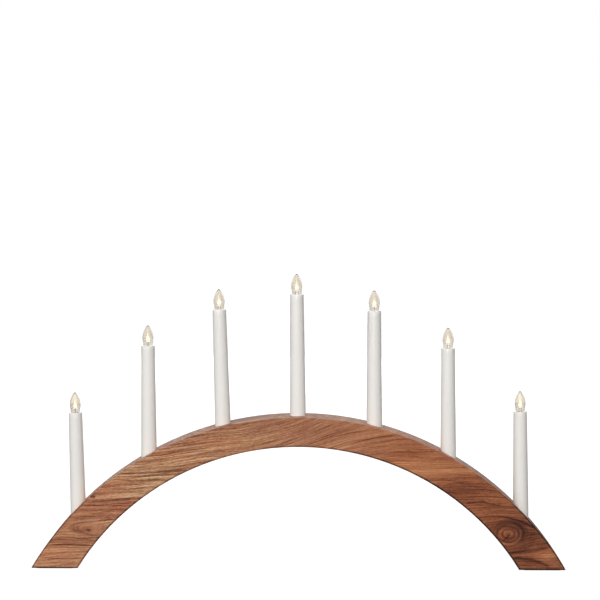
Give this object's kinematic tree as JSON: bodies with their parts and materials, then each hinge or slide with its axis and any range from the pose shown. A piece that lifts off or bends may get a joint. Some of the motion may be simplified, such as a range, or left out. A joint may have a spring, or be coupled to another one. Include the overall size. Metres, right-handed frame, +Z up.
{
  "type": "candle arch",
  "caption": "Bowed wooden arch on two flat feet carrying a row of electric candles: white tapered sleeves with clear candle bulbs that screw in.",
  "frame": {"origin": "centre of the footprint, on the floor under the felt pads", "axes": "+X to the right along the arch, +Y to the back, +Z up"},
  "size_m": [0.6278, 0.048, 0.347],
  "materials": {
    "wood": "stained and satin lacquered",
    "cover_wood": "stained plywood",
    "screw_steel": "zinc plated",
    "felt": "pressed felt",
    "bush_rubber": "moulded",
    "splice_nylon": "moulded nylon",
    "wire_pvc": "extruded",
    "holder_plastic": "moulded",
    "contact_brass": "stamped",
    "spring_steel": "drawn wire",
    "sleeve_plastic": "satin moulded",
    "bulb_glass": "clear",
    "cap_nickel": "nickel plated brass",
    "insulator_black": "fused glass",
    "led": "cast resin, lit warm white"
  },
  "bodies": {
    "arch": {"arch_body": "wood", "soffit_cover": "cover_wood", "cover_screws": "screw_steel", "foot_pad_left": "felt", "foot_pad_right": "felt", "cord_bush": "bush_rubber", "splice_caps": "splice_nylon", "wire_harness": "wire_pvc", "lampholder_bodies": "holder_plastic", "lampholder_contacts": "contact_brass", "candle_sleeve_1": "sleeve_plastic", "candle_sleeve_2": "sleeve_plastic", "candle_sleeve_3": "sleeve_plastic", "candle_sleeve_4": "sleeve_plastic", "candle_sleeve_5": "sleeve_plastic", "candle_sleeve_6": "sleeve_plastic", "candle_sleeve_7": "sleeve_plastic", "contact_spring_1": "spring_steel", "contact_spring_2": "spring_steel", "contact_spring_3": "spring_steel", "contact_spring_4": "spring_steel", "contact_spring_5": "spring_steel", "contact_spring_6": "spring_steel", "contact_spring_7": "spring_steel"},
    "contact_1": {"contact_plunger_1": "contact_brass"},
    "bulb_1": {"bulb_1_glass": "bulb_glass", "bulb_1_cap": "cap_nickel", "bulb_1_insulator": "insulator_black", "bulb_1_led": "led"},
    "contact_2": {"contact_plunger_2": "contact_brass"},
    "bulb_2": {"bulb_2_glass": "bulb_glass", "bulb_2_cap": "cap_nickel", "bulb_2_insulator": "insulator_black", "bulb_2_led": "led"},
    "contact_3": {"contact_plunger_3": "contact_brass"},
    "bulb_3": {"bulb_3_glass": "bulb_glass", "bulb_3_cap": "cap_nickel", "bulb_3_insulator": "insulator_black", "bulb_3_led": "led"},
    "contact_4": {"contact_plunger_4": "contact_brass"},
    "bulb_4": {"bulb_4_glass": "bulb_glass", "bulb_4_cap": "cap_nickel", "bulb_4_insulator": "insulator_black", "bulb_4_led": "led"},
    "contact_5": {"contact_plunger_5": "contact_brass"},
    "bulb_5": {"bulb_5_glass": "bulb_glass", "bulb_5_cap": "cap_nickel", "bulb_5_insulator": "insulator_black", "bulb_5_led": "led"},
    "contact_6": {"contact_plunger_6": "contact_brass"},
    "bulb_6": {"bulb_6_glass": "bulb_glass", "bulb_6_cap": "cap_nickel", "bulb_6_insulator": "insulator_black", "bulb_6_led": "led"},
    "contact_7": {"contact_plunger_7": "contact_brass"},
    "bulb_7": {"bulb_7_glass": "bulb_glass", "bulb_7_cap": "cap_nickel", "bulb_7_insulator": "insulator_black", "bulb_7_led": "led"}
  },
  "joints": [
    {"name": "contact_1_follow", "type": "slide", "parent": "arch", "child": "contact_1", "axis": [-0.0239, 0, 0.9997], "range_m": [0, 0.00181], "deforming": ["contact_spring_1"]},
    {"name": "bulb_1_unscrew", "type": "hinge", "parent": "contact_1", "child": "bulb_1", "pos_m": [-0.26399, 0, 0.1825], "axis": [-0.0239, 0, 0.9997], "range_deg": [0, 360]},
    {"name": "contact_2_follow", "type": "slide", "parent": "arch", "child": "contact_2", "axis": [-0.0061, 0, 1], "range_m": [0, 0.00181], "deforming": ["contact_spring_2"]},
    {"name": "bulb_2_unscrew", "type": "hinge", "parent": "contact_2", "child": "bulb_2", "pos_m": [-0.17773, 0, 0.262], "axis": [-0.0061, 0, 1], "range_deg": [0, 360]},
    {"name": "contact_3_follow", "type": "slide", "parent": "arch", "child": "contact_3", "axis": [-0.03, 0, 0.9995], "range_m": [0, 0.00181], "deforming": ["contact_spring_3"]},
    {"name": "bulb_3_unscrew", "type": "hinge", "parent": "contact_3", "child": "bulb_3", "pos_m": [-0.09349, 0, 0.305], "axis": [-0.03, 0, 0.9995], "range_deg": [0, 360]},
    {"name": "contact_4_follow", "type": "slide", "parent": "arch", "child": "contact_4", "axis": [-0.0105, 0, 0.9999], "range_m": [0, 0.00181], "deforming": ["contact_spring_4"]},
    {"name": "bulb_4_unscrew", "type": "hinge", "parent": "contact_4", "child": "bulb_4", "pos_m": [-0.00215, 0, 0.32305], "axis": [-0.0105, 0, 0.9999], "range_deg": [0, 360]},
    {"name": "contact_5_follow", "type": "slide", "parent": "arch", "child": "contact_5", "axis": [-0.0035, 0, 1], "range_m": [0, 0.00181], "deforming": ["contact_spring_5"]},
    {"name": "bulb_5_unscrew", "type": "hinge", "parent": "contact_5", "child": "bulb_5", "pos_m": [0.08903, 0, 0.3039], "axis": [-0.0035, 0, 1], "range_deg": [0, 360]},
    {"name": "contact_6_follow", "type": "slide", "parent": "arch", "child": "contact_6", "axis": [-0.0068, 0, 1], "range_m": [0, 0.00181], "deforming": ["contact_spring_6"]},
    {"name": "bulb_6_unscrew", "type": "hinge", "parent": "contact_6", "child": "bulb_6", "pos_m": [0.17604, 0, 0.2601], "axis": [-0.0068, 0, 1], "range_deg": [0, 360]},
    {"name": "contact_7_follow", "type": "slide", "parent": "arch", "child": "contact_7", "axis": [-0.0131, 0, 0.9999], "range_m": [0, 0.00181], "deforming": ["contact_spring_7"]},
    {"name": "bulb_7_unscrew", "type": "hinge", "parent": "contact_7", "child": "bulb_7", "pos_m": [0.26137, 0, 0.1854], "axis": [-0.0131, 0, 0.9999], "range_deg": [0, 360]}
  ],
  "couplings": [
    {"joint": "contact_1_follow", "follows": "bulb_1_unscrew", "m_per_rad": 0.00028871},
    {"joint": "contact_2_follow", "follows": "bulb_2_unscrew", "m_per_rad": 0.00028871},
    {"joint": "contact_3_follow", "follows": "bulb_3_unscrew", "m_per_rad": 0.00028871},
    {"joint": "contact_4_follow", "follows": "bulb_4_unscrew", "m_per_rad": 0.00028871},
    {"joint": "contact_5_follow", "follows": "bulb_5_unscrew", "m_per_rad": 0.00028871},
    {"joint": "contact_6_follow", "follows": "bulb_6_unscrew", "m_per_rad": 0.00028871},
    {"joint": "contact_7_follow", "follows": "bulb_7_unscrew", "m_per_rad": 0.00028871}
  ]
}
